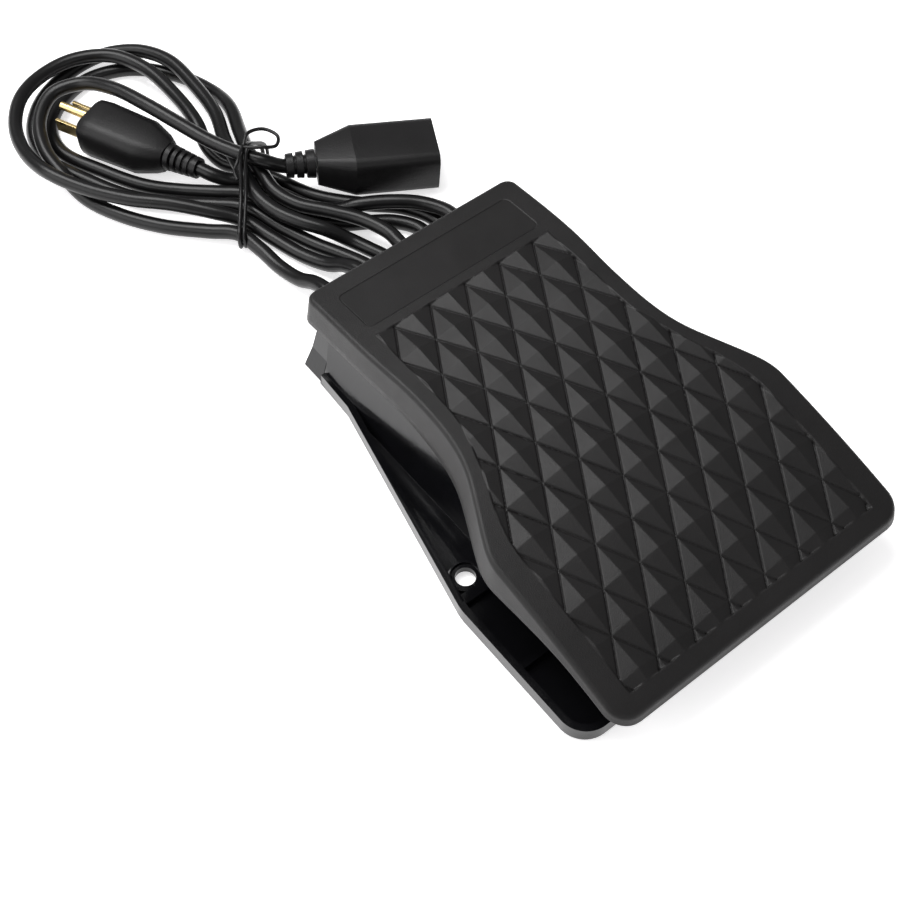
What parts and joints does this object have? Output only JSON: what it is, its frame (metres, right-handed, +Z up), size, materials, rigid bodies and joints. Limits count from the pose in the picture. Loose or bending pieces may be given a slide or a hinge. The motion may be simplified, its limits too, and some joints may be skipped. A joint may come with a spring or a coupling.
{
  "type": "sewing machine foot pedal switch",
  "caption": "Foot pedal switch for a sewing machine: arched diamond-pattern tread hinged on a low tray, micro switch inside, long plug cord and shorter socket cord tied in one hank.",
  "frame": {"origin": "centre of the footprint of the pedal's bounding box, on the floor under the rubber feet", "axes": "+X right across the tread, +Y from the wide front edge towards the cord end, +Z up"},
  "size_m": [0.1648, 0.419, 0.0477],
  "materials": {
    "tread_plastic": "fine matte texture",
    "tray_plastic": "polished",
    "label_plastic": "smooth matte",
    "cord_rubber": "satin",
    "plug_rubber": "matte",
    "foot_rubber": "matte",
    "steel": "plated",
    "brass": "bright",
    "switch_plastic": "moulded",
    "button_plastic": "moulded",
    "splice_nylon": "moulded",
    "wire_black": "satin",
    "wire_white": "satin",
    "wire_green": "satin"
  },
  "bodies": {
    "base": {"base_tray": "tray_plastic", "rear_cover": "tray_plastic", "rear_cover_screw_left": "steel", "rear_cover_screw_right": "steel", "cord_gland_plug": "cord_rubber", "cord_gland_socket": "cord_rubber", "foot_front_left": "foot_rubber", "foot_front_right": "foot_rubber", "foot_rear_left": "foot_rubber", "foot_rear_right": "foot_rubber", "hinge_pin": "steel", "hinge_clip_left": "steel", "hinge_clip_right": "steel", "return_spring_left": "steel", "return_spring_right": "steel", "stop_pad_left": "foot_rubber", "stop_pad_right": "foot_rubber", "switch_body": "switch_plastic", "switch_screw_front": "steel", "switch_screw_rear": "steel", "switch_terminal_common": "brass", "switch_terminal_normally_open": "brass", "switch_terminal_normally_closed": "brass", "cord_clamp": "switch_plastic", "cord_clamp_screw_left": "steel", "cord_clamp_screw_right": "steel", "splice_neutral": "splice_nylon", "splice_ground": "splice_nylon", "wire_live_plug": "wire_black", "wire_live_socket": "wire_black", "wire_neutral_plug": "wire_white", "wire_neutral_socket": "wire_white", "wire_ground_plug": "wire_green", "wire_ground_socket": "wire_green", "cord_plug": "cord_rubber", "cord_socket": "cord_rubber", "cord_tie": "cord_rubber", "plug_body": "plug_rubber", "plug_relief": "plug_rubber", "plug_blade_live": "brass", "plug_blade_neutral": "brass", "plug_pin_ground": "brass", "socket_body": "plug_rubber", "socket_relief": "plug_rubber", "socket_contact_live": "brass", "socket_contact_neutral": "brass", "socket_contact_ground": "brass"},
    "tread": {"tread": "tread_plastic", "label_plate": "label_plastic"},
    "switch_lever": {"switch_lever": "steel"},
    "switch_button": {"switch_button": "button_plastic"}
  },
  "joints": [
    {"name": "tread_hinge", "type": "hinge", "parent": "base", "child": "tread", "pos_m": [0, 0.085, 0.03], "axis": [1, 0, 0], "range_deg": [0, 4], "stiffness_Nm_per_rad": 8, "springref_deg": -5.73, "deforming": ["return_spring_left", "return_spring_right"]},
    {"name": "lever_hinge", "type": "hinge", "parent": "base", "child": "switch_lever", "pos_m": [0, 0.055, 0.0251], "axis": [1, 0, 0], "range_deg": [0, 10], "stiffness_Nm_per_rad": 0.02, "springref_deg": -11.46},
    {"name": "button_slide", "type": "slide", "parent": "base", "child": "switch_button", "axis": [0, 0, -1], "range_m": [0, 0.0011], "stiffness_N_per_m": 20, "springref_m": -0.0008}
  ],
  "couplings": [
    {"joint": "lever_hinge", "follows": "tread_hinge", "ratio": 2.3},
    {"joint": "button_slide", "follows": "tread_hinge", "m_per_rad": 0.0143}
  ]
}
